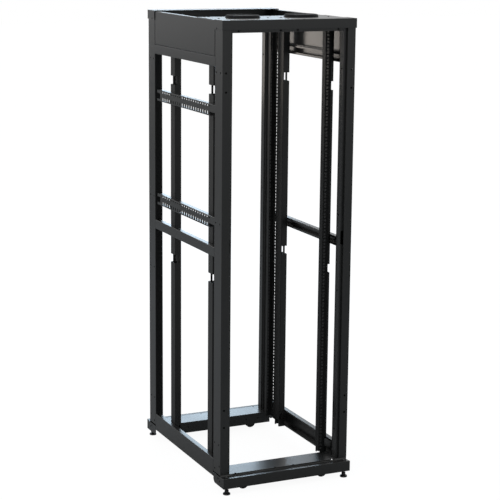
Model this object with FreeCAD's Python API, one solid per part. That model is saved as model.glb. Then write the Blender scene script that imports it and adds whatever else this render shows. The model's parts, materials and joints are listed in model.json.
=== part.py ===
import FreeCAD, Part

# Four post open frame rack, 42 rack units, on levelling feet and casters.
# Millimetres. Origin on the floor, midway between the feet; +X right, +Y rear, +Z up.

import math
import os

V = FreeCAD.Vector

# ---- overall sizes -------------------------------------------------------------------
frame_width = 610.0            # outer side face to outer side face of the posts
frame_depth = 838.0            # front face of the front posts to rear face of the rear ones
frame_top = 2013.5             # floor to the top of the headers
sheet = 2.0                    # thickness of the folded sheets
cap_overhang = 3.0             # how far the headers stand proud of the posts

# ---- base trays ----------------------------------------------------------------------
base_overhang = 36.0           # how far a tray reaches out past the posts
base_bottom = 30.0             # floor to the lower edge of the skirts
ledge_height = 73.0            # floor to the ledge in front of the posts
tray_top = 82.0                # floor to the top of the tray, which carries the posts
tray_inner = 105.0             # post face to the inner skirt
end_plate_reach = 75.0         # post face to the inner edge of a tray's end plate
end_plate_corner = 20.0        # rounding of that plate's lower corner
inner_skirt_inset = 30.0       # outer side face to the end of the inner skirt

# ---- posts ---------------------------------------------------------------------------
post_side = 78.0               # width of the side face
post_front = 37.0              # width of the front face
rebate_depth = 12.5            # step back from the front face to the lip
lip_width = 12.0               # width of that lip
post_inner_depth = 45.0        # front face to the rear edge of the inner face
post_rear_width = 34.0         # width of the wall that the beams meet
side_hole_r = 4.0
side_hole_centre = 42.0        # post face to the middle of each pair of side holes
side_hole_spacing = 42.0
side_hole_low = 212.0          # floor to the lowest pair
side_hole_lower_middle = 840.0  # a pair that only the rear posts have
side_hole_middle = 1173.0
side_hole_drop = 213.5         # top of the headers down to the highest pair
latch_bottom = 1050.0
latch_height = 60.0
latch_width = 16.0

# ---- headers and top -----------------------------------------------------------------
header_height = 40.5
header_reach = 3.0             # how far a header's top reaches inwards past the posts
plate_width = 196.0            # front edge to rear edge of the top plate
port_offset = 136.0            # middle of the rack to each cable port
port_r = 64.0
port_cap_r = 74.0
port_cap_height = 12.0
port_cap_taper = 4.0
port_sides = 48                # flats that stand for the round of the ports and their caps
port_tabs = 3                  # tabs under each cap that spring into its port
port_tab_width = 14.0
port_tab_depth = 8.0
port_tab_clearance = 0.3

# ---- side panels and beams -----------------------------------------------------------
panel_return = 22.0            # width of the flanges round a panel
panel_gap = 1.0                # seam between a panel and what lies round it
panel_drop = 150.5             # top of the headers down to the upper beams
beam_reach = 24.0              # outer side face to the inner face of a beam's lips
beam_lip = 9.0
upper_beam_height = 41.0
middle_beam_bottom = 1023.0
middle_beam_height = 42.0
bottom_beam_bottom = 54.0
bottom_beam_height = 80.0

# ---- uprights ------------------------------------------------------------------------
upright_width = 48.0           # front flange to rear flange
upright_depth = 29.0           # beam lips to the web of the rail
upright_lip = 9.0
upright_drop = 2.0             # top of a rail down to the top of its upright
notch_height = 38.0
notch_depth = 11.0             # cut from the outer corners of the channel
notch_strip = 9.0              # strip of each flange left between that cut and its window
first_notch = 107.0            # floor to the middle of the lowest notch
notch_spacing = 805.0
notches = 3

# ---- rack rails ----------------------------------------------------------------------
rack_unit = 44.45              # height of one rack unit
unit_hole_edge = 6.35          # edge of a unit to its first hole, and from its last one
rail_hole = 9.5                # square holes for cage nuts
rail_hole_inset = 19.45        # web of a rail to its holes: 465.1 mm from rail to rail
rail_flange = 30.0             # width of the perforated flange
rail_lip = 18.0
rail_bottom = 84.0
rail_end = 7.7                 # end of a rail to its first unit
rail_head = 3.4                # last unit to the top of a rail
front_rail_setback = 111.0     # front post face to the front rack face
rear_rail_setback = 162.0      # rear post face to the rear rack face
front_upright_setback = 38.0   # front rack face to the near flange of its upright
rear_upright_setback = 48.0    # rear rack face to the near flange of its upright

# ---- lacing brackets -----------------------------------------------------------------
lacing_height = 50.0
lacing_rise = 76.0             # middle beam up to the lower bracket
lacing_drop = 159.0            # upper beam down to the upper bracket
lacing_inset = 2.0             # outer side face to the face of the brackets
lacing_step = 56.0             # front post to the end of the cut-out in the lower corner
lacing_step_height = 17.0
lacing_body_end = 60.0         # rear post to the end of the full-height part
lacing_prong_end = 25.0        # rear post to the ends of the two prongs
lacing_upper_prong = 13.0      # heights of the prongs
lacing_lower_prong = 11.0
lacing_slot_pitch = 25.4
lacing_slot_width = 10.0
lacing_slot_edge = 5.0         # edge of the bracket to the edge of a row of slots
lacing_upper_slot = 6.0        # heights of the slots in the two rows
lacing_lower_slot = 13.0
lacing_first_slot = 58.0       # front post to the middle of the first slot
lacing_last_slot = 25.0        # least distance from the last slot to the full height's end

# ---- casters and feet ----------------------------------------------------------------
wheel_r = 25.0
wheel_width = 22.0
wheel_floor_gap = 2.0
wheel_inset = 115.0            # outer side face to the middle of a wheel
front_wheel_setback = 21.0     # front post face to the middle of a front wheel
rear_wheel_setback = 61.0      # rear post face to the middle of a rear wheel
hub_r = 9.0
axle_r = 4.0
axle_clearance = 0.05
wheel_side_gap = 5.0
hub_side_gap = 1.0
fork_sheet = 2.5
fork_leg_width = 26.0
fork_plate = 50.0
foot_inset = 22.0              # outer side face to the middle of a foot
foot_y_out = 18.0              # post face out to the middle of a foot
foot_r = 16.0
foot_height = 9.0
foot_nut_across = 17.0
foot_nut_height = 12.0
stud_r = 5.0
stud_show = 5.0                # end of the stud above the ledge
stud_clearance = 0.3
wheel_sides = 24               # flats that stand for the round of wheels and foot pads
bar_sides = 12                 # flats that stand for the round of small bars and holes

# ---- sizes that follow ---------------------------------------------------------------
half_width = frame_width / 2
half_depth = frame_depth / 2
header_bottom = frame_top - header_height
header_depth = post_side + header_reach
plate_top = frame_top - sheet
plate_rear = header_depth + plate_width
port_centre = header_depth + plate_width / 2
upper_beam_top = frame_top - panel_drop
upper_beam_bottom = upper_beam_top - upper_beam_height
middle_beam_top = middle_beam_bottom + middle_beam_height
lower_lacing_bottom = middle_beam_top + lacing_rise
upper_lacing_bottom = upper_beam_bottom - lacing_drop - lacing_height
first_unit_bottom = rail_bottom + rail_end
rail_web_half = half_width - beam_reach - upright_depth
rail_opening_half = rail_web_half - rail_flange
rail_hole_x = rail_web_half - rail_hole_inset
rack_units = math.floor((header_bottom - lip_width - first_unit_bottom) / rack_unit)
rail_top = first_unit_bottom + rack_units * rack_unit + rail_head
lacing_slot_run = (frame_depth - 2 * post_side - lacing_body_end - lacing_first_slot
                   - lacing_last_slot)
lacing_slots = math.floor(lacing_slot_run / lacing_slot_pitch) + 1


def prism(points, direction):
    """Solid swept from a flat outline."""
    wire = Part.makePolygon(list(points) + [points[0]])
    return Part.Face(wire).extrude(direction)


def box(x0, x1, y0, y1, z0, z1):
    """Box between two corners, given in any order."""
    low = V(min(x0, x1), min(y0, y1), min(z0, z1))
    high = V(max(x0, x1), max(y0, y1), max(z0, z1))
    size = high - low
    return Part.makeBox(size.x, size.y, size.z, low)


def fuse(solids):
    """One solid from touching or overlapping ones."""
    return solids[0].fuse(list(solids[1:])).removeSplitter()


def ring(centre, radius, sides, axis):
    """Closed polygon about the centre, square to the axis, its corners on the radius."""
    first = V(axis.y, axis.z, axis.x)
    second = axis.cross(first)
    angles = [2 * math.pi * index / sides for index in range(sides)]
    points = [centre + first * (radius * math.cos(angle)) + second * (radius * math.sin(angle))
              for angle in angles]
    return points + [points[0]]


def bar(centre, radius, sides, sweep):
    """Bar with flats for its round: its end is centred there and its corners lie on the radius."""
    outline = Part.makePolygon(ring(centre, radius, sides, sweep * (1 / sweep.Length)))
    return Part.Face(outline).extrude(sweep)


def bore_radius(radius, sides):
    """Corner radius of a bore whose flats clear a round bar."""
    return radius / math.cos(math.pi / sides)


def across(shape, flip_x, flip_y):
    """Shape carried to another corner of the rack."""
    if flip_x:
        shape = shape.mirror(V(0, 0, 0), V(1, 0, 0))
    if flip_y:
        shape = shape.mirror(V(0, 0, 0), V(0, 1, 0))
    return shape


def save(name, shape):
    shape.exportStep("parts/" + name + ".step")


def corners():
    """Name, left or right and front or rear of each corner."""
    for rear in (False, True):
        for right in (False, True):
            name = ("rear" if rear else "front") + ("_right" if right else "_left")
            yield name, right, rear


# Everything below is drawn for the front left corner or the left side: x is negative,
# and "depth" runs from the front face of the front posts towards the rear.

def at_depth(depth):
    return depth - half_depth


def post_outline(inset):
    """Section of a post, its walls drawn in by inset."""
    rebate = post_front + lip_width
    steps = [
        (inset, inset),
        (post_front - inset, inset),
        (post_front - inset, rebate_depth + inset),
        (rebate - inset, rebate_depth + inset),
        (rebate - inset, post_inner_depth - inset),
        (post_rear_width - inset, post_inner_depth - inset),
        (post_rear_width - inset, post_side - inset),
        (inset, post_side - inset),
    ]
    return [V(-half_width + x, at_depth(y), tray_top) for x, y in steps]


def make_post(rear):
    """Folded hollow post with its latch slot and pairs of fixing holes."""
    height = V(0, 0, header_bottom - tray_top)
    post = prism(post_outline(0), height).cut(prism(post_outline(sheet), height))
    tools = []
    levels = [side_hole_low, side_hole_middle, frame_top - side_hole_drop]
    if rear:
        levels.append(side_hole_lower_middle)
    for z in levels:
        for side in (-0.5, 0.5):
            y = at_depth(side_hole_centre + side * side_hole_spacing)
            start = V(-half_width - sheet, y, z)
            if rear:
                hole = bar(start, bore_radius(side_hole_r, bar_sides), bar_sides,
                           V(3 * sheet, 0, 0))
            else:
                hole = Part.makeCylinder(side_hole_r, 3 * sheet, start, V(1, 0, 0))
            tools.append(hole)
    inner = -half_width + post_front + lip_width
    middle = at_depth((rebate_depth + post_inner_depth) / 2)
    tools.append(box(inner - 2 * sheet, inner + sheet, middle - latch_width / 2,
                     middle + latch_width / 2, latch_bottom, latch_bottom + latch_height))
    return post.cut(tools)


def make_header():
    """Header cap over two posts, with the lip of the opening below its face."""
    outer_x = half_width + cap_overhang
    front = at_depth(-cap_overhang)
    rear = at_depth(header_depth)
    shell = box(-outer_x, outer_x, front, rear, header_bottom, frame_top)
    hollow = box(-outer_x + sheet, outer_x - sheet, front + sheet, rear + sheet,
                 header_bottom - sheet, frame_top - sheet)
    cap = shell.cut(hollow)
    half_opening = half_width - post_front - lip_width
    lip_bottom = header_bottom - lip_width

    def section(inset):
        steps = [
            (-cap_overhang + inset, frame_top - inset),
            (-cap_overhang + inset, header_bottom + inset),
            (rebate_depth + inset, header_bottom + inset),
            (rebate_depth + inset, lip_bottom + inset),
            (post_inner_depth - inset, lip_bottom + inset),
            (post_inner_depth - inset, frame_top - inset),
        ]
        return [V(-half_opening, at_depth(y), z) for y, z in steps]

    length = V(2 * half_opening, 0, 0)
    tube = prism(section(0), length).cut(prism(section(sheet), length))
    return fuse([cap, tube])


def make_panel():
    """Pan that closes a side between the headers, its flanges turned inwards."""
    y0 = at_depth(header_depth + panel_gap)
    z0 = upper_beam_top + panel_gap
    z1 = plate_top - sheet
    outer = box(-half_width, -half_width + panel_return, y0, -y0, z0, z1)
    hollow = box(-half_width + sheet, -half_width + panel_return + sheet,
                 y0 + sheet, -y0 - sheet, z0 + sheet, z1 - sheet)
    return outer.cut(hollow)


def make_beam(bottom, height):
    """Side beam: a lipped channel that opens towards the middle of the rack."""
    top = bottom + height
    y0 = at_depth(post_side)
    outer = box(-half_width, -half_width + beam_reach, y0, -y0, bottom, top)
    hollow = box(-half_width + sheet, -half_width + beam_reach - sheet, y0, -y0,
                 bottom + sheet, top - sheet)
    mouth = box(-half_width + sheet, -half_width + beam_reach, y0, -y0,
                bottom + beam_lip, top - beam_lip)
    return outer.cut([hollow, mouth])


def make_upright(near_flange):
    """Lipped channel between the side beams and a rail, notched for lacing brackets."""
    x0 = -half_width + beam_reach
    x1 = -rail_web_half
    y0 = near_flange
    y1 = y0 + upright_width
    z0 = bottom_beam_bottom
    z1 = rail_top - upright_drop
    outer = box(x0, x1, y0, y1, z0, z1)
    hollow = box(x0 + sheet, x1 - sheet, y0 + sheet, y1 - sheet, z0, z1)
    mouth = box(x0 + sheet, x1, y0 + upright_lip, y1 - upright_lip, z0, z1)
    tools = [hollow, mouth]
    for index in range(notches):
        z0 = first_notch + index * notch_spacing - notch_height / 2
        z1 = z0 + notch_height
        strip_end = x0 + notch_depth + notch_strip
        tools.append(box(x0, x0 + notch_depth, y0, y1, z0, z1))
        tools.append(box(strip_end, x1 - sheet, y0, y1, z0, z1))
    return outer.cut(tools)


def rail_hole_levels():
    """Heights of the square holes: three to each rack unit."""
    for unit in range(rack_units):
        for offset in (unit_hole_edge, rack_unit / 2, rack_unit - unit_hole_edge):
            yield first_unit_bottom + unit * rack_unit + offset


def make_rail(rack_face, near_flange):
    """Rack rail: perforated flange, web against the upright, and an inner lip."""
    web_rear = near_flange + upright_width
    steps = [
        (-rail_opening_half, rack_face),
        (-rail_web_half, rack_face),
        (-rail_web_half, web_rear),
        (-rail_web_half + sheet, web_rear),
        (-rail_web_half + sheet, rack_face + sheet),
        (-rail_opening_half - sheet, rack_face + sheet),
        (-rail_opening_half - sheet, rack_face + rail_lip),
        (-rail_opening_half, rack_face + rail_lip),
    ]
    points = [V(x, y, rail_bottom) for x, y in steps]
    rail = prism(points, V(0, 0, rail_top - rail_bottom))
    half = rail_hole / 2
    holes = [box(-rail_hole_x - half, -rail_hole_x + half, rack_face - sheet,
                 rack_face + 2 * sheet, z - half, z + half) for z in rail_hole_levels()]
    return rail.cut(Part.makeCompound(holes))


def make_top_plate():
    plate = box(-half_width + sheet, half_width - sheet, at_depth(header_depth),
                at_depth(plate_rear), plate_top - sheet, plate_top)
    for x in (-port_offset, port_offset):
        start = V(x, at_depth(port_centre), plate_top - 2 * sheet)
        radius = bore_radius(port_r, port_sides)
        plate = plate.cut(bar(start, radius, port_sides, V(0, 0, 3 * sheet)))
    return plate


def make_port_cap():
    """Round cap over the left cable port, with tabs that spring into the plate."""
    rims = [Part.makePolygon(ring(V(0, 0, z), radius, port_sides, V(0, 0, 1)))
            for z, radius in ((0, port_cap_r), (port_cap_height, port_cap_r - port_cap_taper))]
    cap = Part.makeLoft(rims, True, True)
    corner = port_tab_width / 2
    reach = math.sqrt((port_r - port_tab_clearance) ** 2 - corner ** 2)
    tab = box(reach - sheet, reach, -corner, corner, -port_tab_depth, 0)
    pieces = [cap]
    for index in range(port_tabs):
        turned = tab.copy()
        turned.rotate(V(0, 0, 0), V(0, 0, 1), index * 360 / port_tabs)
        pieces.append(turned)
    cap = fuse(pieces)
    cap.translate(V(-port_offset, at_depth(port_centre), plate_top))
    return cap


def make_lacing_bracket(bottom):
    """Slotted channel across the left side, on the uprights, with two prongs at its rear."""
    x0 = -half_width + lacing_inset
    x1 = -half_width + beam_reach
    y0 = at_depth(post_side)
    top = bottom + lacing_height
    body_end = -y0 - lacing_body_end
    prong_end = -y0 - lacing_prong_end
    tools = [
        box(x0 + sheet, x1, y0, prong_end, bottom + sheet, top - sheet),
        box(x0, x1, y0, y0 + lacing_step, bottom, bottom + lacing_step_height),
        box(x0, x1, body_end, prong_end, bottom + lacing_lower_prong,
            top - lacing_upper_prong),
    ]
    low = bottom + lacing_slot_edge
    high = top - lacing_slot_edge
    rows = ((low, low + lacing_lower_slot), (high - lacing_upper_slot, high))
    for index in range(lacing_slots):
        y = y0 + lacing_first_slot + index * lacing_slot_pitch
        near = y - lacing_slot_width / 2
        far = y + lacing_slot_width / 2
        tools += [box(x0, x0 + sheet, near, far, z0, z1) for z0, z1 in rows]
    return box(x0, x1, y0, prong_end, bottom, top).cut(tools)


def make_base():
    """Tray under two posts: outer skirt, ledge, top, inner skirt and two end plates."""
    steps = [
        (-base_overhang, base_bottom),
        (-base_overhang, ledge_height),
        (0, ledge_height),
        (0, tray_top),
        (tray_inner, tray_top),
        (tray_inner, base_bottom),
        (tray_inner - sheet, base_bottom),
        (tray_inner - sheet, tray_top - sheet),
        (sheet, tray_top - sheet),
        (sheet, ledge_height - sheet),
        (-base_overhang + sheet, ledge_height - sheet),
        (-base_overhang + sheet, base_bottom),
    ]
    points = [V(-half_width, at_depth(y), z) for y, z in steps]
    tray = prism(points, V(frame_width, 0, 0))
    for side in (-1, 1):
        tray = tray.cut(box(side * (half_width - inner_skirt_inset),
                            side * (half_width + sheet),
                            at_depth(end_plate_reach), at_depth(tray_inner + sheet),
                            base_bottom - sheet, tray_top + sheet))
    plates = [tray]
    for side in (-1, 1):
        plate = box(side * half_width, side * (half_width - sheet),
                    at_depth(-base_overhang), at_depth(end_plate_reach),
                    base_bottom, ledge_height)
        edges = [e for e in plate.Edges
                 if abs(e.CenterOfMass.y - at_depth(end_plate_reach)) < sheet / 2
                 and abs(e.CenterOfMass.z - base_bottom) < sheet / 2
                 and e.Length < 2 * sheet]
        plates.append(plate.makeFillet(end_plate_corner, edges))
    base = fuse(plates)
    for side in (-1, 1):
        start = V(side * (half_width - foot_inset), at_depth(-foot_y_out),
                  ledge_height - 2 * sheet)
        radius = bore_radius(stud_r + stud_clearance, bar_sides)
        base = base.cut(bar(start, radius, bar_sides, V(0, 0, 3 * sheet)))
    return base


def caster_centre(setback):
    return V(wheel_inset - half_width, at_depth(setback), wheel_floor_gap + wheel_r)


def make_fork(centre):
    """Bent fork under the tray, with the axle across it."""
    inside = wheel_width / 2 + wheel_side_gap
    outside = inside + fork_sheet
    top = tray_top - sheet
    half_plate = fork_plate / 2
    half_leg = fork_leg_width / 2
    pieces = [box(centre.x - half_plate, centre.x + half_plate,
                  centre.y - outside, centre.y + outside, top - fork_sheet, top)]
    for y in (centre.y - outside, centre.y + inside):
        leg = box(centre.x - half_leg, centre.x + half_leg, y, y + fork_sheet,
                  centre.z, top)
        foot = bar(V(centre.x, y, centre.z), half_leg, bar_sides,
                   V(0, fork_sheet, 0))
        pieces += [leg, foot]
    pieces.append(bar(centre - V(0, outside, 0), axle_r, bar_sides,
                      V(0, 2 * outside, 0)))
    return fuse(pieces)


def make_wheel(centre):
    """Tread and hub, with the bore for the axle."""
    half_tread = wheel_width / 2
    half_hub = half_tread + wheel_side_gap - hub_side_gap
    bore = bore_radius(axle_r + axle_clearance, bar_sides)
    hub_end = centre - V(0, half_hub, 0)
    hub_length = V(0, 2 * half_hub, 0)
    tread = bar(centre - V(0, half_tread, 0), wheel_r, wheel_sides, V(0, wheel_width, 0))
    hub = bar(hub_end, hub_r, bar_sides, hub_length)
    return fuse([tread, hub]).cut(bar(hub_end, bore, bar_sides, hub_length))


def make_foot():
    """Levelling foot: pad, hexagon and the stud that passes through the ledge."""
    centre = V(foot_inset - half_width, at_depth(-foot_y_out), 0)
    on_pad = centre + V(0, 0, foot_height)
    pad = bar(centre, foot_r, wheel_sides, V(0, 0, foot_height))
    nut_sides = 6
    nut = bar(on_pad, bore_radius(foot_nut_across / 2, nut_sides), nut_sides,
              V(0, 0, foot_nut_height))
    stud = bar(on_pad, stud_r, bar_sides, V(0, 0, ledge_height + stud_show - foot_height))
    return fuse([pad, nut, stud])


def build():
    os.makedirs("parts", exist_ok=True)
    front_face = at_depth(front_rail_setback)
    rear_face = at_depth(rear_rail_setback)
    posts = (make_post(False), make_post(True))
    header = make_header()
    base = make_base()
    for rear in (False, True):
        end = "rear" if rear else "front"
        save(end + "_header", across(header, False, rear))
        save(end + "_base", across(base, False, rear))
    panel = make_panel()
    beams = {
        "upper": make_beam(upper_beam_bottom, upper_beam_height),
        "middle": make_beam(middle_beam_bottom, middle_beam_height),
        "bottom": make_beam(bottom_beam_bottom, bottom_beam_height),
    }
    cap = make_port_cap()
    for right in (False, True):
        side = "right" if right else "left"
        save(side + "_top_panel", across(panel, right, False))
        save(side + "_port_cap", across(cap, right, False))
        for level, beam in beams.items():
            save(side + "_" + level + "_beam", across(beam, right, False))
    save("top_plate", make_top_plate())
    flanges = (front_face + front_upright_setback, rear_face + rear_upright_setback)
    uprights = [make_upright(flange) for flange in flanges]
    rails = [make_rail(face, flange) for face, flange in zip((front_face, rear_face), flanges)]
    wheel_centres = [caster_centre(setback)
                     for setback in (front_wheel_setback, rear_wheel_setback)]
    forks = [make_fork(centre) for centre in wheel_centres]
    wheels = [make_wheel(centre) for centre in wheel_centres]
    foot = make_foot()
    for name, right, rear in corners():
        save(name + "_post", across(posts[rear], right, rear))
        save(name + "_upright", across(uprights[rear], right, rear))
        save(name + "_rail", across(rails[rear], right, rear))
        save(name + "_caster_fork", across(forks[rear], right, rear))
        save(name + "_caster_wheel", across(wheels[rear], right, rear))
        save(name + "_levelling_foot", across(foot, right, rear))
    save("lower_lacing_bracket", make_lacing_bracket(lower_lacing_bottom))
    save("upper_lacing_bracket", make_lacing_bracket(upper_lacing_bottom))


build()
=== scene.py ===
import json
import math

import bmesh
import bpy
from bpy.props import FloatProperty, FloatVectorProperty, IntProperty, PointerProperty
from mathutils import Matrix, Vector


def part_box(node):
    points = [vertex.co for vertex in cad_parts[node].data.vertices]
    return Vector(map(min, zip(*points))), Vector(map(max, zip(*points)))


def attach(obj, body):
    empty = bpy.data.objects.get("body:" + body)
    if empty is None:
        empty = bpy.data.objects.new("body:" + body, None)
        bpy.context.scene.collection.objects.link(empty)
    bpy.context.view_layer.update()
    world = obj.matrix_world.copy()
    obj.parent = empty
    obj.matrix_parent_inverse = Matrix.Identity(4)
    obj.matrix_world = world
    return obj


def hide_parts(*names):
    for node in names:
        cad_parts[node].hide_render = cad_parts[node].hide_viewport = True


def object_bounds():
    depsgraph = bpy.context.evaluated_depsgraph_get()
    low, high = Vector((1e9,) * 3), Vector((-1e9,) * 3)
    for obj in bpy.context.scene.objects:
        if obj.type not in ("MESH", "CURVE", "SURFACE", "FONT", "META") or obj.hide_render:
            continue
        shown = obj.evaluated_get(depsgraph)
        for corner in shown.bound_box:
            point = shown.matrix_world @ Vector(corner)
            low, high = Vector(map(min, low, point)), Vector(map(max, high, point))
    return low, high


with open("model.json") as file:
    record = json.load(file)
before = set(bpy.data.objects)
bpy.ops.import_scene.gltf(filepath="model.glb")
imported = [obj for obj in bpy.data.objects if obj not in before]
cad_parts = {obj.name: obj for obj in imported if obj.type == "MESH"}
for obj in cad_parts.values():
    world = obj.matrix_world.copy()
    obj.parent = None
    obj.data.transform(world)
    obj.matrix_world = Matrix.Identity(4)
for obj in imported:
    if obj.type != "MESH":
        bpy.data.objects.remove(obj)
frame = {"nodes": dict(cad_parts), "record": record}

bl_info = {
    "name": "Four Post Open Frame Rack",
    "version": (1, 0, 0),
    "blender": (4, 5, 0),
    "location": "3D View > Sidebar > Rack",
    "description": "Folded sheets, punched rails, fasteners and finishes of a rack",
    "category": "Object",
}

MM = 0.001
CAD_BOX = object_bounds()
FLOOR_LEVEL = CAD_BOX[0][2]
CORNERS = ("front_left", "front_right", "rear_left", "rear_right")
SIDES = ("left", "right")
ENDS = ("front", "rear")
BODY = "frame"
ALONG_X, ALONG_Y, ALONG_Z = (1, 0, 0), (0, 1, 0), (0, 0, 1)

SHEET = 2.0 * MM               # thickness of the folded sheets
OUTER = 305.0                  # middle of the rack to the outer face of a post, mm
FACE = 419.0                   # middle of the rack to the outer face of a post row, mm
RACK_UNIT = 44.45 * MM
RACK_UNITS = 42
HOLE_INSET = 6.35 * MM         # edge of a rack unit to the middle of its nearest hole
RAIL_END = 7.7 * MM            # end of a rail to its first unit
WEB_INSIDE = 3 * SHEET         # reach of a web hole's drill, from the web's outer face
WEB_OUTSIDE = SHEET


# ---- sizes and colours -----------------------------------------------------------------

class RackSizes(bpy.types.PropertyGroup):
    """Sizes of the details that are drawn here."""

    fold_radius: FloatProperty(
        name="Fold radius", description="Outer radius of the folds in the sheet steel",
        default=2.2 * MM, min=0.2 * MM, unit="LENGTH")
    fold_steps: IntProperty(
        name="Fold steps", description="Flats along each fold", default=3, min=1)
    fixing_hole: FloatProperty(
        name="Fixing hole", description="Radius of the small holes in posts and trays",
        default=4.5 * MM, min=MM, unit="LENGTH")
    web_hole: FloatProperty(
        name="Web hole", description="Height of the holes in the rail webs",
        default=9.0 * MM, min=MM, unit="LENGTH")
    web_hole_depth: FloatProperty(
        name="Web hole depth", description="Depth of the holes in the rail webs",
        default=8.0 * MM, min=MM, unit="LENGTH")
    front_web_holes: FloatProperty(
        name="Front web holes",
        description="Front rack face to the holes in the rail webs",
        default=66.0 * MM, min=0, unit="LENGTH")
    rear_web_holes: FloatProperty(
        name="Rear web holes",
        description="Rear rack face to the holes in the rail webs",
        default=31.0 * MM, min=0, unit="LENGTH")
    screw_head: FloatProperty(
        name="Screw head", description="Radius of the pan head screws",
        default=4.0 * MM, min=MM, unit="LENGTH")
    thread_pitch: FloatProperty(
        name="Thread pitch", description="Pitch of the threads on the levelling feet",
        default=1.5 * MM, min=0.5 * MM, unit="LENGTH")


class RackColours(bpy.types.PropertyGroup):
    """Colours of the finishes."""

    paint: FloatVectorProperty(
        name="Powder coat", description="Satin black of the folded sheets",
        default=(0.013, 0.0135, 0.0135), size=3, min=0, max=1, subtype="COLOR")
    rail_paint: FloatVectorProperty(
        name="Rail coat", description="Black of the rails and their uprights",
        default=(0.010, 0.0105, 0.0105), size=3, min=0, max=1, subtype="COLOR")
    plastic: FloatVectorProperty(
        name="Plastic", description="Moulded port caps",
        default=(0.016, 0.016, 0.017), size=3, min=0, max=1, subtype="COLOR")
    rubber: FloatVectorProperty(
        name="Rubber", description="Treads of the casters",
        default=(0.018, 0.018, 0.018), size=3, min=0, max=1, subtype="COLOR")
    steel: FloatVectorProperty(
        name="Steel", description="Blackened fasteners and feet",
        default=(0.05, 0.05, 0.052), size=3, min=0, max=1, subtype="COLOR")
    cut_steel: FloatVectorProperty(
        name="Cut steel", description="Bare ends of the feet's studs",
        default=(0.55, 0.56, 0.58), size=3, min=0, max=1, subtype="COLOR")
    backdrop: FloatVectorProperty(
        name="Backdrop", description="Floor and background",
        default=(1.0, 1.0, 1.0), size=3, min=0, max=1, subtype="COLOR")


def sizes():
    """Sizes of the scene's rack."""
    return bpy.context.scene.rack_sizes


def colours():
    """Colours of the scene's rack."""
    return bpy.context.scene.rack_colours


# ---- materials -------------------------------------------------------------------------

SHADE_SPREAD = 0.25            # how much a coating's shade varies over it
ROUGHNESS_SPREAD = 0.06        # and its roughness
CLOUDS_PER_METRE = 7.0         # scale of both
GRAIN_HEIGHT = 0.1 * MM


def group_socket(group, name, kind, output=False, default=None):
    """Adds a named input or output to a node group."""
    socket = group.interface.new_socket(
        name=name, in_out="OUTPUT" if output else "INPUT", socket_type=kind)
    if default is not None:
        socket.default_value = default


def grain_group():
    """Fine pebbled skin of a coating: its shade, roughness and height, each varied."""
    if "coating_grain" in bpy.data.node_groups:
        return bpy.data.node_groups["coating_grain"]
    group = bpy.data.node_groups.new("coating_grain", "ShaderNodeTree")
    group_socket(group, "Shade", "NodeSocketColor", default=(0.02, 0.02, 0.02, 1))
    group_socket(group, "Shade variation", "NodeSocketFloat", default=0.1)
    group_socket(group, "Roughness", "NodeSocketFloat", default=0.4)
    group_socket(group, "Roughness variation", "NodeSocketFloat", default=0.05)
    group_socket(group, "Grains per metre", "NodeSocketFloat", default=900.0)
    group_socket(group, "Shade", "NodeSocketColor", output=True)
    group_socket(group, "Roughness", "NodeSocketFloat", output=True)
    group_socket(group, "Height", "NodeSocketFloat", output=True)
    nodes, links = group.nodes, group.links
    entry = nodes.new("NodeGroupInput")
    leave = nodes.new("NodeGroupOutput")
    coordinates = nodes.new("ShaderNodeTexCoord")

    grain = nodes.new("ShaderNodeTexNoise")
    grain.inputs["Detail"].default_value = 2.0
    links.new(coordinates.outputs["Object"], grain.inputs["Vector"])
    links.new(entry.outputs["Grains per metre"], grain.inputs["Scale"])
    links.new(grain.outputs["Fac"], leave.inputs["Height"])

    cloud = nodes.new("ShaderNodeTexNoise")
    cloud.inputs["Scale"].default_value = CLOUDS_PER_METRE
    cloud.inputs["Detail"].default_value = 4.0
    links.new(coordinates.outputs["Object"], cloud.inputs["Vector"])
    centred = nodes.new("ShaderNodeMath")
    centred.operation = "SUBTRACT"
    centred.inputs[1].default_value = 0.5
    links.new(cloud.outputs["Fac"], centred.inputs[0])

    rough = nodes.new("ShaderNodeMath")
    rough.operation = "MULTIPLY_ADD"
    links.new(centred.outputs[0], rough.inputs[0])
    links.new(entry.outputs["Roughness variation"], rough.inputs[1])
    links.new(entry.outputs["Roughness"], rough.inputs[2])
    links.new(rough.outputs[0], leave.inputs["Roughness"])

    gain = nodes.new("ShaderNodeMath")
    gain.operation = "MULTIPLY_ADD"
    gain.inputs[2].default_value = 1.0
    links.new(centred.outputs[0], gain.inputs[0])
    links.new(entry.outputs["Shade variation"], gain.inputs[1])
    shade = nodes.new("ShaderNodeVectorMath")
    shade.operation = "SCALE"
    links.new(entry.outputs["Shade"], shade.inputs[0])
    links.new(gain.outputs[0], shade.inputs["Scale"])
    links.new(shade.outputs[0], leave.inputs["Shade"])
    return group


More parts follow.
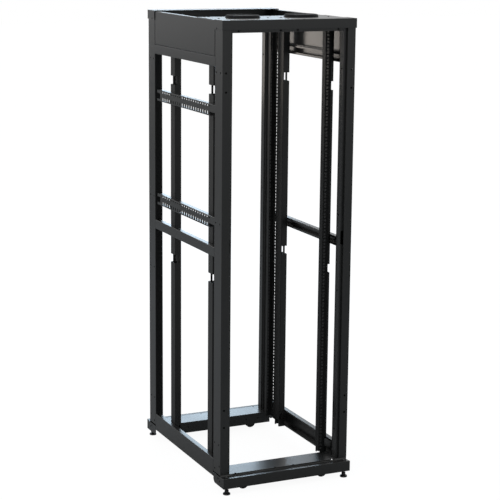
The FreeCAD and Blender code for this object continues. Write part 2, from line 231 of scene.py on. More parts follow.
def finish(name, colour, roughness, grains=900.0, bump=0.05, metallic=0.0, specular=0.5):
    """Material with the coating grain in its colour, roughness and bump."""
    if name in bpy.data.materials:
        return bpy.data.materials[name]
    material = bpy.data.materials.new(name)
    material.use_nodes = True
    nodes, links = material.node_tree.nodes, material.node_tree.links
    shader = nodes["Principled BSDF"]
    shader.inputs["Metallic"].default_value = metallic
    shader.inputs["Specular IOR Level"].default_value = specular
    grain = nodes.new("ShaderNodeGroup")
    grain.node_tree = grain_group()
    grain.inputs["Shade"].default_value = (*colour, 1)
    grain.inputs["Shade variation"].default_value = SHADE_SPREAD
    grain.inputs["Roughness"].default_value = roughness
    grain.inputs["Roughness variation"].default_value = ROUGHNESS_SPREAD
    grain.inputs["Grains per metre"].default_value = grains
    skin = nodes.new("ShaderNodeBump")
    skin.inputs["Strength"].default_value = bump
    skin.inputs["Distance"].default_value = GRAIN_HEIGHT
    links.new(grain.outputs["Shade"], shader.inputs["Base Color"])
    links.new(grain.outputs["Roughness"], shader.inputs["Roughness"])
    links.new(grain.outputs["Height"], skin.inputs["Height"])
    links.new(skin.outputs["Normal"], shader.inputs["Normal"])
    return material


def powder_coat():
    """Satin black of the folded sheets."""
    return finish("powder_coat", colours().paint, roughness=0.30)


def rail_coat():
    """Duller black of the rack rails."""
    return finish("rail_coat", colours().rail_paint, roughness=0.5, specular=0.2)


def upright_coat():
    """Black of the uprights, between the rails' and the sheets' in gloss."""
    return finish("upright_coat", colours().rail_paint, roughness=0.45,
                  specular=0.35)


def moulded_plastic():
    """Matt black of the port caps."""
    return finish("moulded_plastic", colours().plastic, roughness=0.6,
                  grains=1600.0, bump=0.08, specular=0.12)


def tread_rubber():
    """Black rubber of the caster wheels."""
    return finish("tread_rubber", colours().rubber, roughness=0.62, grains=1200.0,
                  bump=0.12)


def bright_steel():
    """Bare steel where a stud is cut."""
    return finish("bright_steel", colours().cut_steel, roughness=0.28,
                  grains=2500.0, bump=0.02, metallic=1.0)


def black_steel():
    """Blackened steel of the fasteners, forks and feet."""
    return finish("black_steel", colours().steel, roughness=0.34, grains=2500.0,
                  bump=0.02, metallic=0.8)


# ---- mesh helpers ----------------------------------------------------------------------

ON_AXIS = 1e-7                 # radius below which a turned ring is a single point
SLIVER_SIDES = 4               # most sides of a gap that close_slivers fills
WELD = 0.01 * MM               # points of a sheet this near are one
FLAT_ANGLE = 1                 # bend below which two faces are one, degrees
FOLD_ANGLE = 30                # least bend of a fold, degrees
BROAD = 1.3                    # least width of a face beside a fold, in sheet thicknesses
SHARP_ANGLE = 35               # least bend that is shaded as an edge, degrees


def corner_signs(corner):
    """Signs of X and Y at a corner of the rack."""
    end, side = corner.split("_")
    return (-1 if side == "left" else 1), (-1 if end == "front" else 1)


def made(name, bm, material, body=BODY):
    """Object of a finished mesh, riding on its body."""
    mesh = bpy.data.meshes.new(name)
    bm.to_mesh(mesh)
    bm.free()
    piece = bpy.data.objects.new(name, mesh)
    bpy.context.scene.collection.objects.link(piece)
    mesh.materials.append(material)
    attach(piece, body)
    return piece


def settle(piece):
    """Applies the modifiers of a piece to its mesh."""
    graph = bpy.context.evaluated_depsgraph_get()
    mesh = bpy.data.meshes.new_from_object(piece.evaluated_get(graph))
    piece.modifiers.clear()
    old = piece.data
    piece.data = mesh
    bpy.data.meshes.remove(old)


def punch(piece, solids, operation="DIFFERENCE"):
    """Cuts closed solids, given as one mesh, out of a piece, or joins them to it."""
    mesh = bpy.data.meshes.new("solids")
    solids.to_mesh(mesh)
    solids.free()
    tool = bpy.data.objects.new("solids", mesh)
    bpy.context.scene.collection.objects.link(tool)
    change = piece.modifiers.new("punch", "BOOLEAN")
    change.operation = operation
    change.solver = "EXACT"
    change.object = tool
    settle(piece)
    bpy.data.objects.remove(tool)
    bpy.data.meshes.remove(mesh)


def close_slivers(piece):
    """Fills the thin triangles that a cut through a rounded fold can leave open."""
    bm = bmesh.new()
    bm.from_mesh(piece.data)
    rims = [edge for edge in bm.edges if edge.is_boundary]
    bmesh.ops.holes_fill(bm, edges=rims, sides=SLIVER_SIDES)
    bm.to_mesh(piece.data)
    bm.free()


def along(axis):
    """Turn that takes Z to the axis."""
    return Vector(ALONG_Z).rotation_difference(Vector(axis)).to_matrix().to_4x4()


def add_box(bm, low, high):
    """Box between its lowest and highest corners."""
    middle = (Vector(low) + Vector(high)) / 2
    size = Vector([abs(b - a) for a, b in zip(low, high)])
    matrix = Matrix.Translation(middle) @ Matrix.Diagonal((*size, 1))
    bmesh.ops.create_cube(bm, size=1, matrix=matrix)


def add_rod(bm, centre, radius, length, axis, steps):
    """Round bar about its centre, along an axis."""
    bmesh.ops.create_cone(
        bm, cap_ends=True, segments=steps, radius1=radius, radius2=radius, depth=length,
        matrix=Matrix.Translation(centre) @ along(axis))


def add_turned(bm, profile, centre, axis, steps):
    """Solid turned about an axis from a profile of (radius, distance along the axis)."""
    matrix = Matrix.Translation(centre) @ along(axis)
    rings = []
    for radius, rise in profile:
        if radius < ON_AXIS:
            rings.append([bm.verts.new(matrix @ Vector((0, 0, rise)))])
            continue
        ring = []
        for step in range(steps):
            angle = 2 * math.pi * step / steps
            point = Vector((radius * math.cos(angle), radius * math.sin(angle), rise))
            ring.append(bm.verts.new(matrix @ point))
        rings.append(ring)
    closed = len(rings[0]) > 1 and len(rings[-1]) > 1
    pairs = list(zip(rings, rings[1:]))
    if closed:
        pairs.append((rings[-1], rings[0]))
    for first, second in pairs:
        for step in range(steps):
            after = (step + 1) % steps
            if len(first) == 1:
                bm.faces.new((first[0], second[step], second[after]))
            elif len(second) == 1:
                bm.faces.new((first[step], second[0], first[after]))
            else:
                bm.faces.new((first[step], second[step], second[after], first[after]))
    bmesh.ops.recalc_face_normals(bm, faces=bm.faces)


def soften(piece):
    """Smooth shading that keeps broad faces flat and sharp edges sharp."""
    mesh = piece.data
    mesh.polygons.foreach_set("use_smooth", [True] * len(mesh.polygons))
    mesh.set_sharp_from_angle(angle=math.radians(SHARP_ANGLE))
    shade = piece.modifiers.new("broad_faces", "WEIGHTED_NORMAL")
    shade.keep_sharp = True
    settle(piece)


def fold_edges(bm):
    """Convex edges where two broad faces meet: the outside of the folds."""
    found = []
    for edge in bm.edges:
        if len(edge.link_faces) != 2 or not edge.is_convex:
            continue
        if edge.calc_face_angle(0) < math.radians(FOLD_ANGLE):
            continue
        widths = [2 * face.calc_area() / face.calc_perimeter()
                  for face in edge.link_faces]
        if min(widths) > BROAD * SHEET:
            found.append(edge)
    return found


def folded_copy(node, material, holes=None, filling=None):
    """Piece that stands for a folded sheet of the frame, with its folds rounded."""
    bm = bmesh.new()
    bm.from_mesh(frame["nodes"][node].data)
    bmesh.ops.remove_doubles(bm, verts=bm.verts, dist=WELD)
    bmesh.ops.dissolve_limit(
        bm, angle_limit=math.radians(FLAT_ANGLE), verts=bm.verts, edges=bm.edges)
    bmesh.ops.bevel(
        bm, geom=fold_edges(bm), offset=sizes().fold_radius,
        segments=sizes().fold_steps, profile=0.5, affect="EDGES", clamp_overlap=True)
    piece = made(node + "_sheet", bm, material)
    if filling is not None:
        punch(piece, filling, "UNION")
    if holes is not None:
        punch(piece, holes)
    close_slivers(piece)
    soften(piece)
    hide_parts(node)
    return piece


def unit_levels(start):
    """Heights of the rack holes above start, the lower edge of the first rack unit."""
    for index in range(RACK_UNITS):
        for offset in (HOLE_INSET, RACK_UNIT / 2, RACK_UNIT - HOLE_INSET):
            yield start + index * RACK_UNIT + offset


def corner_point(corner, x, depth, z):
    """Point of a corner: x from the middle, depth from the post face and height, mm."""
    sign_x, sign_y = corner_signs(corner)
    return Vector((sign_x * x, sign_y * (FACE - depth), z)) * MM


def corner_box(bm, corner, xs, depths, zs):
    """Box at a corner of the rack, between pairs of x, depth and height, mm."""
    ends = [corner_point(corner, *point) for point in zip(xs, depths, zs)]
    add_box(bm, [min(pair) for pair in zip(*ends)], [max(pair) for pair in zip(*ends)])


# ---- small parts -----------------------------------------------------------------------

DRILL = 10 * MM                # length of a drill, through a sheet and past it
SMALL_STEPS = 20               # flats round a small hole, screw or rivet nut
STUD_STEPS = 24
FOOT_STEPS = 48
WHEEL_STEPS = 64
CAP_STEPS = 96
RIVET_NUT_DEPTH = 8 * MM
RIVET_NUT_LIP = 0.4 * MM
THREAD_DEPTH = 0.6             # in pitches
SCREW_HEIGHT = 0.55            # head of a screw, in radii
TAB_LOW = (61.6 * MM, -7 * MM, -8 * MM)        # tab of a port cap, from the port's centre
TAB_HIGH = (63.3 * MM, 7 * MM, 0.5 * MM)

# screw head: profile in shares of its radius and height
SCREW_PROFILE = ((0, 1), (0.45, 0.97), (0.8, 0.75), (1, 0.25), (1, 0), (0, 0))
# nut with chamfered corners: rings in shares of its corner radius and height
NUT_RINGS = ((0.88, 0), (1, 0.12), (1, 0.88), (0.88, 1))
NUT_SIDES = 6
# profiles of (radius, distance along the axis); the wheel's goes round it: bore, hub,
# dished side, tread with rounded shoulders, and back
WHEEL_PROFILE = [(radius * MM, rise * MM) for radius, rise in (
    (4.2, -15), (8.6, -15), (9, -14.6), (9, -10), (11, -8.6), (19, -8.6), (20.5, -10.6),
    (22.5, -11), (24.2, -10.2), (25, -8), (25, 8), (24.2, 10.2), (22.5, 11), (20.5, 10.6),
    (19, 8.6), (11, 8.6), (9, 10), (9, 14.6), (8.6, 15), (4.2, 15))]
FOOT_PROFILE = [(radius * MM, rise * MM) for radius, rise in (
    (0, 9.6), (8, 9.6), (9, 9), (14.5, 7.2), (15.6, 6.4), (16, 5.2), (16, 1), (15.4, 0.2),
    (14.8, 0), (0, 0))]
STUD_END_PROFILE = [(radius * MM, rise * MM) for radius, rise in (
    (0, 0), (4.2, 0), (4.2, 0.6), (0, 0.6))]


def add_hole(bm, centre, axis):
    """Drill for a small fixing hole, along an axis."""
    add_rod(bm, centre, sizes().fixing_hole, DRILL, axis, SMALL_STEPS)


def add_screw(bm, seat, axis):
    """Head of a pan head screw, standing off the seat along the axis."""
    radius = sizes().screw_head
    height = SCREW_HEIGHT * radius
    profile = [(across * radius, up * height) for across, up in SCREW_PROFILE]
    add_turned(bm, profile, Vector(seat), axis, SMALL_STEPS)


def add_rivet_nut(bm, seat, axis):
    """Blind rivet nut in a sheet, its thin rim standing off the seat along the axis."""
    bore = 0.75 * sizes().fixing_hole
    wall = 0.93 * sizes().fixing_hole
    rim = 1.3 * sizes().fixing_hole
    end = -RIVET_NUT_DEPTH - RIVET_NUT_LIP
    profile = [(0, -RIVET_NUT_DEPTH), (bore, -RIVET_NUT_DEPTH), (bore, RIVET_NUT_LIP),
               (rim, RIVET_NUT_LIP), (rim, 0), (wall, 0), (wall, end), (0, end)]
    add_turned(bm, profile, Vector(seat), axis, SMALL_STEPS)


def add_nut(bm, seat, size, axis):
    """Hexagon nut with chamfered corners, standing off the seat along the axis."""
    across, height = size[0] * MM, size[1] * MM
    matrix = Matrix.Translation(seat) @ along(axis)
    corner = across / math.sqrt(3)
    angles = [2 * math.pi * index / NUT_SIDES for index in range(NUT_SIDES)]
    rings = []
    for share, up in NUT_RINGS:
        radius, rise = share * corner, up * height
        rings.append([bm.verts.new(matrix @ Vector((
            radius * math.cos(angle), radius * math.sin(angle), rise)))
            for angle in angles])
    faces = [bm.faces.new(rings[0]), bm.faces.new(rings[-1])]
    for first, second in zip(rings, rings[1:]):
        for index in range(NUT_SIDES):
            after = (index + 1) % NUT_SIDES
            faces.append(bm.faces.new((first[index], first[after], second[after],
                                       second[index])))
    bmesh.ops.recalc_face_normals(bm, faces=faces)


def thread_profile(radius, start, end):
    """Profile of a threaded bar from start to end: V grooves under its outer radius."""
    pitch = sizes().thread_pitch
    root = radius - THREAD_DEPTH * pitch
    profile = [(0, end), (root, end)]
    count = int((end - start) / pitch)
    for index in range(count):
        crest = end - (index + 0.5) * pitch
        profile += [(radius, crest), (root, crest - pitch / 2)]
    profile += [(0, end - count * pitch)]
    return profile


def cap_profile(radius, height):
    """Profile of a port cap: shallow dish, rounded rim and sloping skirt."""
    return [(0, 0.82 * height), (0.78 * radius, 0.82 * height),
            (0.81 * radius, 0.9 * height), (0.84 * radius, height),
            (radius - 6 * MM, height),
            (radius - 4.2 * MM, height - 0.6 * MM), (radius - 3.2 * MM, height - 2 * MM),
            (radius - 0.6 * MM, 1.2 * MM), (radius, 0.8 * MM), (radius, 0), (0, 0)]


def add_tab(bm, centre, degrees):
    """Tab under a port cap, turned about its centre."""
    start = len(bm.verts)
    add_box(bm, TAB_LOW, TAB_HIGH)
    bm.verts.ensure_lookup_table()
    matrix = Matrix.Translation(centre) @ Matrix.Rotation(math.radians(degrees), 4, "Z")
    bmesh.ops.transform(bm, matrix=matrix, verts=bm.verts[start:])


# ---- places of the details -------------------------------------------------------------

# in mm: x from the middle of the rack, depth from the post face, height from the floor

# small holes of a post: x, depth, height and direction
POST_HOLES = (
    (289, 0, 1800, ALONG_Y), (289, 0, 1722, ALONG_Y),
    (289, 0, 369, ALONG_Y), (289, 0, 293, ALONG_Y),
    (256, 29, 1800, ALONG_X), (256, 29, 1173, ALONG_X),
    (256, 29, 840, ALONG_X), (256, 29, 212, ALONG_X),
    (OUTER, 60, 97, ALONG_X), (OUTER, 13, 118, ALONG_X),
)
# latch slot in the front lip of a post, and the plug that closes the one in its inner
# face: each between two x, two depths and two heights
LATCH_SLOT = ((258.4, 270.2), (3.0, 16.0), (1046.0, 1106.0))
LATCH_PLUG = ((256.02, 257.98), (20.2, 37.3), (1049.5, 1110.5))
# lip of a header: x of each hole, and the row's depth and height
HEADER_HOLES = (229, 39)
HEADER_ROW = (12.5, 1968.5)
# end of a header: x, depth and height of its screw hole, how far in from there the screw
# sits, how much wider than its head the hole is, and the flats round the hole
HEADER_SCREW = (308, 53, 1978.5)
HEADER_SCREW_SEAT = 2.6
HEADER_SCREW_PLAY = 0.6
HEADER_SCREW_STEPS = 24
# top of a tray: x of each hole, and the row's depth and height
TRAY_HOLES = (233, 44)
TRAY_ROW = (4, 82)
# inner skirt of a tray: x of each rivet nut, and their height
SKIRT_NUTS = (212, 150)
SKIRT_NUT_HEIGHT = 57
# end plate of a tray: depth and height of each rivet nut
END_NUTS = ((25, 62), (9, 53))
# ledge of a tray in front of the posts: the heights it lies between, and its slope
LEDGE_LEVELS = (60, 75)
LEDGE_RISE = 0.085
# top plate: x of its screws, and how far their rows lie in from its front and rear edges
PLATE_SCREWS = (255, 30)
PLATE_SCREW_ROWS = (76, 12)
CAP_TABS = 3
# nuts: distance across the flats, and height
AXLE_NUT = (11, 4)
FOOT_NUT = (17, 12)
# levelling foot: heights of its nut and of its stud's lowest thread, the stud's radius,
# and how deep the bare end lies in the stud
FOOT_NUT_LEVEL = 9
THREAD_START = 20
STUD_RADIUS = 5
STUD_END_SINK = 0.1


# ---- operators -------------------------------------------------------------------------

class RACK_OT_finish_frame(bpy.types.Operator):
    """Gives each part of the frame the finish of its material slot"""

    bl_idname = "rack.finish_frame"
    bl_label = "Finish frame"

    def execute(self, context):
        finishes = {
            "frame_paint": powder_coat(),
            "rail_paint": rail_coat(),
            "cap_plastic": moulded_plastic(),
            "zinc_steel": black_steel(),
            "wheel_rubber": tread_rubber(),
            "foot_steel": black_steel(),
        }
        slots = {part["node"]: part["material_slot"]
                 for part in frame["record"]["subparts"]}
        for name, node in frame["nodes"].items():
            node.data.materials.clear()
            node.data.materials.append(finishes[slots[name]])
        return {"FINISHED"}


class RACK_OT_posts(bpy.types.Operator):
    """Folds the four posts and cuts their latch slots and small fixing holes"""

    bl_idname = "rack.posts"
    bl_label = "Posts"

    def execute(self, context):
        for corner in CORNERS:
            holes = bmesh.new()
            for x, depth, z, axis in POST_HOLES:
                add_hole(holes, corner_point(corner, x, depth, z), axis)
            corner_box(holes, corner, *LATCH_SLOT)
            plug = bmesh.new()
            corner_box(plug, corner, *LATCH_PLUG)
            folded_copy(corner + "_post", powder_coat(), holes, plug)
        return {"FINISHED"}


class RACK_OT_headers(bpy.types.Operator):
    """Folds the two headers, with the holes in their lips and a screw at each end"""

    bl_idname = "rack.headers"
    bl_label = "Headers"

    def execute(self, context):
        for end in ENDS:
            holes = bmesh.new()
            screws = bmesh.new()
            for side in SIDES:
                corner = end + "_" + side
                sign_x, _ = corner_signs(corner)
                for x in HEADER_HOLES:
                    add_hole(holes, corner_point(corner, x, *HEADER_ROW), ALONG_Y)
                spot = corner_point(corner, *HEADER_SCREW)
                add_rod(holes, spot, sizes().screw_head + HEADER_SCREW_PLAY * MM, DRILL,
                        ALONG_X, HEADER_SCREW_STEPS)
                seat = spot - Vector((sign_x * HEADER_SCREW_SEAT * MM, 0, 0))
                add_screw(screws, seat, (sign_x, 0, 0))
            folded_copy(end + "_header", powder_coat(), holes)
            made(end + "_header_screws", screws, black_steel())
        return {"FINISHED"}


class RACK_OT_side_sheets(bpy.types.Operator):
    """Folds the top panels and the beams of both sides"""

    bl_idname = "rack.side_sheets"
    bl_label = "Side panels and beams"

    def execute(self, context):
        for side in SIDES:
            for part in ("top_panel", "upper_beam", "middle_beam", "bottom_beam"):
                folded_copy(side + "_" + part, powder_coat())
        return {"FINISHED"}


class RACK_OT_rails(bpy.types.Operator):
    """Folds the rack rails and punches the holes in their webs"""

    bl_idname = "rack.rails"
    bl_label = "Rack rails"

    def execute(self, context):
        half = sizes().web_hole / 2
        reach = sizes().web_hole_depth / 2
        for corner in CORNERS:
            sign_x, sign_y = corner_signs(corner)
            low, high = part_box(corner + "_rail")
            web = max(abs(low.x), abs(high.x))
            if sign_y < 0:
                face = low.y + sizes().front_web_holes
            else:
                face = high.y - sizes().rear_web_holes
            bm = bmesh.new()
            for z in unit_levels(low.z + RAIL_END):
                add_box(bm, (sign_x * (web - WEB_INSIDE), face - reach, z - half),
                        (sign_x * (web + WEB_OUTSIDE), face + reach, z + half))
            folded_copy(corner + "_rail", rail_coat(), bm)
        return {"FINISHED"}


class RACK_OT_uprights(bpy.types.Operator):
    """Folds the notched uprights behind the rails"""

    bl_idname = "rack.uprights"
    bl_label = "Uprights"

    def execute(self, context):
        for corner in CORNERS:
            folded_copy(corner + "_upright", upright_coat())
        return {"FINISHED"}


class RACK_OT_lacing(bpy.types.Operator):
    """Folds the two slotted lacing brackets"""

    bl_idname = "rack.lacing"
    bl_label = "Lacing brackets"

    def execute(self, context):
        for level in ("lower", "upper"):
            folded_copy(level + "_lacing_bracket", powder_coat())
        return {"FINISHED"}


class RACK_OT_top(bpy.types.Operator):
    """Draws the top plate's screws and the moulded caps over its cable ports"""

    bl_idname = "rack.top"
    bl_label = "Top plate and port caps"

    def execute(self, context):
        folded_copy("top_plate", powder_coat())
        screws = bmesh.new()
        plate_low, plate_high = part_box("top_plate")
        for x in PLATE_SCREWS:
            for y in (plate_low.y + PLATE_SCREW_ROWS[0] * MM,
                      plate_high.y - PLATE_SCREW_ROWS[1] * MM):
                for sign in (-1, 1):
                    add_screw(screws, (sign * x * MM, y, plate_high.z), ALONG_Z)
        made("top_plate_screws", screws, black_steel())
        for side in SIDES:
            node = side + "_port_cap"
            low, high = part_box(node)
            centre = Vector(((low.x + high.x) / 2, (low.y + high.y) / 2, plate_high.z))
            radius = (high.x - low.x) / 2
            height = high.z - plate_high.z
            bm = bmesh.new()
            add_turned(bm, cap_profile(radius, height), centre, ALONG_Z, CAP_STEPS)
            for index in range(CAP_TABS):
                add_tab(bm, centre, index * 360 / CAP_TABS)
            piece = made(node + "_moulded", bm, moulded_plastic())
            soften(piece)
            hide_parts(node)
        return {"FINISHED"}


def raise_ledge(tray):
    """Slopes the ledge in front of the posts gently up to its outer fold."""
    low, high = (level * MM for level in LEDGE_LEVELS)
    for vert in tray.data.vertices:
        beyond = abs(vert.co.y) - FACE * MM
        if beyond > 0 and low < vert.co.z < high:
            vert.co.z += LEDGE_RISE * beyond
    tray.data.update()


class RACK_OT_bases(bpy.types.Operator):
    """Folds the two base trays and drills their small holes"""

    bl_idname = "rack.bases"
    bl_label = "Base trays"

    def execute(self, context):
        for end in ENDS:
            low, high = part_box(end + "_base")
            inner, inward = (high.y, 1) if end == "front" else (low.y, -1)
            holes = bmesh.new()
            nuts = bmesh.new()
            for side in SIDES:
                corner = end + "_" + side
                sign_x, _ = corner_signs(corner)
                for x in TRAY_HOLES:
                    add_hole(holes, corner_point(corner, x, *TRAY_ROW), ALONG_Z)
                for x in SKIRT_NUTS:
                    seat = Vector((sign_x * x * MM, inner, SKIRT_NUT_HEIGHT * MM))
                    add_hole(holes, seat, ALONG_Y)
                    add_rivet_nut(nuts, seat, (0, inward, 0))
                for depth, z in END_NUTS:
                    seat = corner_point(corner, OUTER, depth, z)
                    add_hole(holes, seat, ALONG_X)
                    add_rivet_nut(nuts, seat, (sign_x, 0, 0))
            tray = folded_copy(end + "_base", powder_coat(), holes)
            raise_ledge(tray)
            made(end + "_skirt_nuts", nuts, black_steel())
        return {"FINISHED"}


class RACK_OT_casters(bpy.types.Operator):
    """Turns the caster wheels and adds the nuts of their axles"""

    bl_idname = "rack.casters"
    bl_label = "Casters"

    def execute(self, context):
        for corner in CORNERS:
            wheel = corner + "_caster_wheel"
            low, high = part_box(wheel)
            centre = (low + high) / 2
            bm = bmesh.new()
            add_turned(bm, WHEEL_PROFILE, centre, ALONG_Y, WHEEL_STEPS)
            piece = made(wheel + "_turned", bm, tread_rubber(), wheel)
            soften(piece)
            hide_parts(wheel)
            low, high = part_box(corner + "_caster_fork")
            bm = bmesh.new()
            for side, y in ((-1, low.y), (1, high.y)):
                add_nut(bm, Vector((centre.x, y, centre.z)), AXLE_NUT, (0, side, 0))
            made(corner + "_axle_nuts", bm, black_steel())
        return {"FINISHED"}


class RACK_OT_feet(bpy.types.Operator):
    """Turns the levelling feet, with their threads and nuts"""

    bl_idname = "rack.feet"
    bl_label = "Levelling feet"

    def execute(self, context):
        for corner in CORNERS:
            node = corner + "_levelling_foot"
            low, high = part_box(node)
            centre = Vector(((low.x + high.x) / 2, (low.y + high.y) / 2, 0))
            bm = bmesh.new()
            add_turned(bm, FOOT_PROFILE, centre, ALONG_Z, FOOT_STEPS)
            thread = thread_profile(STUD_RADIUS * MM, THREAD_START * MM, high.z)
            add_turned(bm, thread, centre, ALONG_Z, STUD_STEPS)
            add_nut(bm, centre + Vector((0, 0, FOOT_NUT_LEVEL * MM)), FOOT_NUT, ALONG_Z)
            piece = made(node + "_turned", bm, black_steel())
            soften(piece)
            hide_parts(node)
            bm = bmesh.new()
            stud_end = centre + Vector((0, 0, high.z - STUD_END_SINK * MM))
            add_turned(bm, STUD_END_PROFILE, stud_end, ALONG_Z, STUD_STEPS)
            made(corner + "_stud_end", bm, bright_steel())
        return {"FINISHED"}


# ---- stage -----------------------------------------------------------------------------

# camera: sensor and lens in millimetres, place in metres, and turn
CAMERA_SENSOR = 36.0
CAMERA_LENS = 112.70
CAMERA_PLACE = Vector((-2.857, -6.250, 2.397))
CAMERA_YAW = math.radians(24.70)
CAMERA_PITCH = math.radians(11.78)
CAMERA_ROLL = math.radians(0.54)

# world: strength and colour of its light, and its share of white in what mirrors it
WORLD_LIGHT = 0.4
WORLD_COLOUR = (0.93, 0.97, 1.0)
WORLD_MIRROR = 0.8
# floor: half its width in metres, its own shade, the strength of its white, and the
# share of that white in what the camera sees and in what mirrors it
FLOOR_REACH = 30
FLOOR_SHADE = (0.7, 0.7, 0.7)
FLOOR_GLOW = 1.25
FLOOR_SEEN = 0.75
FLOOR_MIRROR = 0.0
# lamps: name, location, target, size, radiance and colour
SOFTBOXES = (
    ("sky_box", (1.6, 5.6, 1.85), (0, 0, 0.6), (2.4, 1.7), 4.4, (0.62, 0.82, 1.0)),
    ("warm_box", (-3.7, 3.4, 1.4), (0, 0, 1.0), (1.6, 2.6), 0.5, (1.0, 0.90, 0.80)),
    ("rear_box", (-0.25, 1.15, 1.75), (-0.25, 0, 1.75), (0.18, 0.5), 5.0,
     (1.0, 0.90, 0.80)),
    ("key_box", (-4.0, -2.5, 4.0), (0, 0, 1.0), (2.5, 3.0), 1.5, (1.0, 0.98, 0.95)),
)


def aim():
    """World matrix of the camera from its yaw, pitch and roll."""
    ahead = Vector((math.sin(CAMERA_YAW) * math.cos(CAMERA_PITCH),
                    math.cos(CAMERA_YAW) * math.cos(CAMERA_PITCH),
                    -math.sin(CAMERA_PITCH)))
    level = Vector((math.cos(CAMERA_YAW), -math.sin(CAMERA_YAW), 0))
    upright = level.cross(ahead)
    right = level * math.cos(CAMERA_ROLL) + upright * math.sin(CAMERA_ROLL)
    up = upright * math.cos(CAMERA_ROLL) - level * math.sin(CAMERA_ROLL)
    turn = Matrix((right, up, -ahead)).transposed().to_4x4()
    return Matrix.Translation(CAMERA_PLACE) @ turn


def ray_share(nodes, links, camera, mirror):
    """Output that is camera for what the camera sees, mirror for reflections, else 0."""
    path = nodes.new("ShaderNodeLightPath")
    seen = nodes.new("ShaderNodeMath")
    seen.operation = "MULTIPLY"
    seen.inputs[1].default_value = camera
    links.new(path.outputs["Is Camera Ray"], seen.inputs[0])
    both = nodes.new("ShaderNodeMath")
    both.operation = "MULTIPLY_ADD"
    both.inputs[1].default_value = mirror
    links.new(path.outputs["Is Glossy Ray"], both.inputs[0])
    links.new(seen.outputs[0], both.inputs[2])
    return both.outputs[0]


def backdrop_world():
    """White behind the rack and softer light on it."""
    world = bpy.data.worlds.new("studio")
    bpy.context.scene.world = world
    world.use_nodes = True
    nodes, links = world.node_tree.nodes, world.node_tree.links
    nodes.clear()
    leave = nodes.new("ShaderNodeOutputWorld")
    seen = nodes.new("ShaderNodeBackground")
    seen.inputs["Color"].default_value = (*colours().backdrop, 1)
    seen.inputs["Strength"].default_value = 1.0
    lit = nodes.new("ShaderNodeBackground")
    lit.inputs["Color"].default_value = (*WORLD_COLOUR, 1)
    lit.inputs["Strength"].default_value = WORLD_LIGHT
    blend = nodes.new("ShaderNodeMixShader")
    links.new(ray_share(nodes, links, 1.0, WORLD_MIRROR), blend.inputs[0])
    links.new(lit.outputs[0], blend.inputs[1])
    links.new(seen.outputs[0], blend.inputs[2])
    links.new(blend.outputs[0], leave.inputs[0])


def floor_material():
    """White floor that keeps the shadow of what stands on it."""
    material = bpy.data.materials.new("studio_floor")
    material.use_nodes = True
    nodes, links = material.node_tree.nodes, material.node_tree.links
    shader = nodes["Principled BSDF"]
    shader.inputs["Base Color"].default_value = (*FLOOR_SHADE, 1)
    shader.inputs["Roughness"].default_value = 0.9
    shader.inputs["Specular IOR Level"].default_value = 0.0
    glow = nodes.new("ShaderNodeEmission")
    glow.inputs["Color"].default_value = (*colours().backdrop, 1)
    glow.inputs["Strength"].default_value = FLOOR_GLOW
    blend = nodes.new("ShaderNodeMixShader")
    links.new(ray_share(nodes, links, FLOOR_SEEN, FLOOR_MIRROR), blend.inputs[0])
    links.new(shader.outputs[0], blend.inputs[1])
    links.new(glow.outputs[0], blend.inputs[2])
    links.new(blend.outputs[0], nodes["Material Output"].inputs[0])
    return material


def softbox(name, location, target, size, radiance, colour):
    """Area light of a given radiance that the camera itself doesn't see."""
    data = bpy.data.lights.new(name, "AREA")
    data.shape = "RECTANGLE"
    data.size, data.size_y = size
    data.energy = radiance * math.pi * size[0] * size[1]
    data.color = colour
    lamp = bpy.data.objects.new(name, data)
    lamp.location = location
    ahead = Vector(target) - Vector(location)
    lamp.rotation_euler = ahead.to_track_quat("-Z", "Y").to_euler()
    lamp.visible_camera = False
    bpy.context.scene.collection.objects.link(lamp)


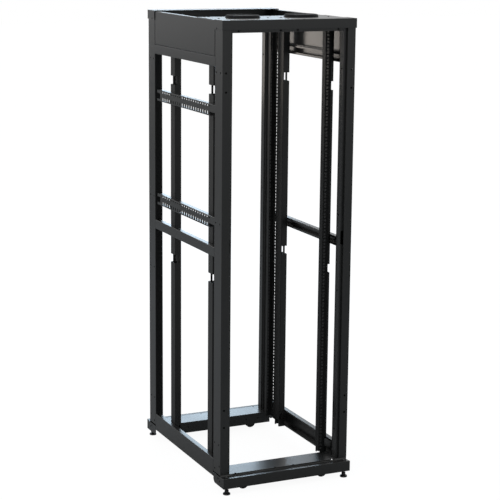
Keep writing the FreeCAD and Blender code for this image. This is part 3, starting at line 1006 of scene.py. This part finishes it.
class RACK_OT_stage(bpy.types.Operator):
    """Builds the floor, the light and the camera"""

    bl_idname = "rack.stage"
    bl_label = "Stage"

    def execute(self, context):
        bpy.context.scene.view_settings.view_transform = "Standard"
        bm = bmesh.new()
        bmesh.ops.create_grid(bm, x_segments=1, y_segments=1, size=FLOOR_REACH)
        mesh = bpy.data.meshes.new("floor")
        bm.to_mesh(mesh)
        bm.free()
        floor = bpy.data.objects.new("floor", mesh)
        floor.location = (0, 0, FLOOR_LEVEL)
        mesh.materials.append(floor_material())
        bpy.context.scene.collection.objects.link(floor)
        backdrop_world()
        for box in SOFTBOXES:
            softbox(*box)
        data = bpy.data.cameras.new("camera")
        data.sensor_width = CAMERA_SENSOR
        data.lens = CAMERA_LENS
        camera = bpy.data.objects.new("camera", data)
        camera.matrix_world = aim()
        bpy.context.scene.collection.objects.link(camera)
        bpy.context.scene.camera = camera
        return {"FINISHED"}


class RACK_PT_panel(bpy.types.Panel):
    """Lists the steps that dress the rack"""

    bl_label = "Open Frame Rack"
    bl_idname = "RACK_PT_panel"
    bl_space_type = "VIEW_3D"
    bl_region_type = "UI"
    bl_category = "Rack"

    def draw(self, context):
        for group in (context.scene.rack_sizes, context.scene.rack_colours):
            for name in group.__annotations__:
                self.layout.prop(group, name)
        for step in STEPS:
            self.layout.operator(step.bl_idname)


STEPS = (RACK_OT_finish_frame, RACK_OT_posts, RACK_OT_headers, RACK_OT_side_sheets,
         RACK_OT_rails, RACK_OT_uprights, RACK_OT_lacing, RACK_OT_top, RACK_OT_bases,
         RACK_OT_casters, RACK_OT_feet, RACK_OT_stage)
CLASSES = (RackSizes, RackColours, *STEPS, RACK_PT_panel)


def register():
    """Registers the classes and their places in the scene."""
    for item in CLASSES:
        bpy.utils.register_class(item)
    bpy.types.Scene.rack_sizes = PointerProperty(type=RackSizes)
    bpy.types.Scene.rack_colours = PointerProperty(type=RackColours)


def unregister():
    """Takes the classes out again."""
    del bpy.types.Scene.rack_colours
    del bpy.types.Scene.rack_sizes
    for item in reversed(CLASSES):
        bpy.utils.unregister_class(item)


def main():
    """Dresses the rack step by step."""
    register()
    for step in STEPS:
        category, name = step.bl_idname.split(".")
        getattr(getattr(bpy.ops, category), name)()


if __name__ == "__main__":
    main()
